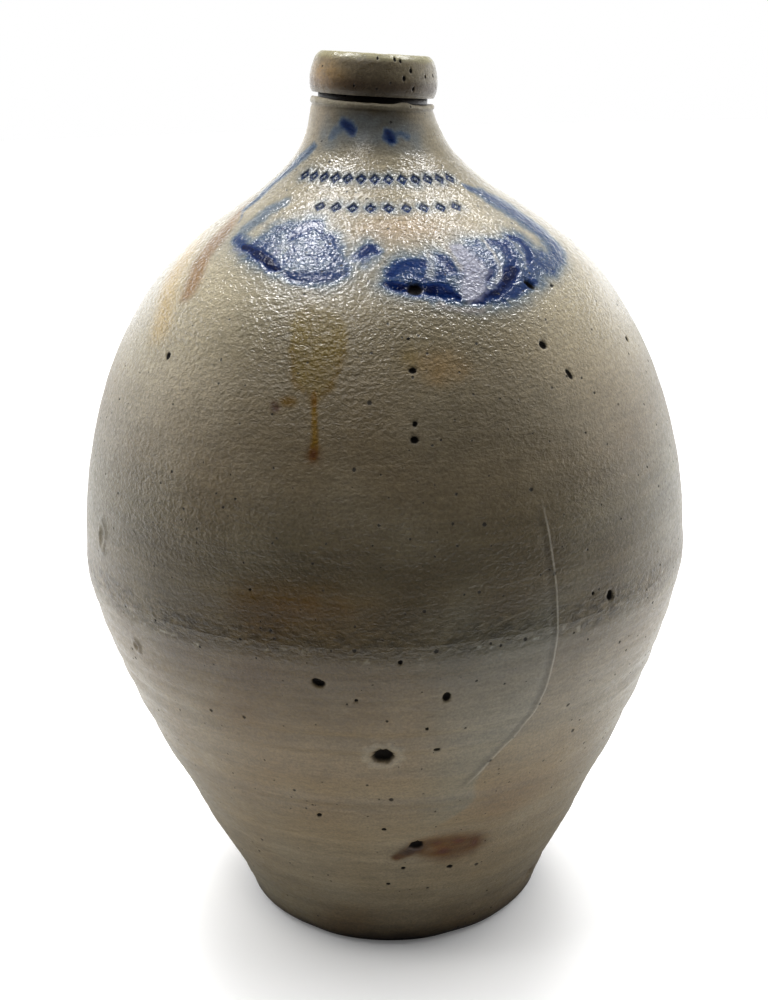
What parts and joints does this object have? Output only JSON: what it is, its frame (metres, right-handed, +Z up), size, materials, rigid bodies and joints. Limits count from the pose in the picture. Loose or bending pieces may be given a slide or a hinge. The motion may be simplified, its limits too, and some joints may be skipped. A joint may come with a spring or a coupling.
{
  "type": "stoneware crock jug",
  "caption": "Ovoid salt-glazed stoneware jug with a narrow collared mouth, a strap handle at the back and brushed cobalt marks on the shoulder.",
  "frame": {"origin": "middle of the base, where the jug meets the table", "axes": "+Z up along the jug's axis; the decorated front faces -Y and the handle is at +Y"},
  "size_m": [0.2386, 0.2386, 0.3421],
  "materials": {
    "stoneware": "salt-glazed, orange peel",
    "collar": "salt-glazed, satin",
    "handle": "salt-glazed, orange peel",
    "cobalt": "glossy cobalt slip"
  },
  "bodies": {
    "root": {"lower_body": "stoneware", "upper_body": "stoneware", "mouth_collar": "collar", "strap_handle": "handle", "cobalt_swag_left": "cobalt", "cobalt_swag_right": "cobalt", "cobalt_side_bands": "cobalt", "cobalt_neck_dabs": "cobalt"}
  },
  "joints": []
}
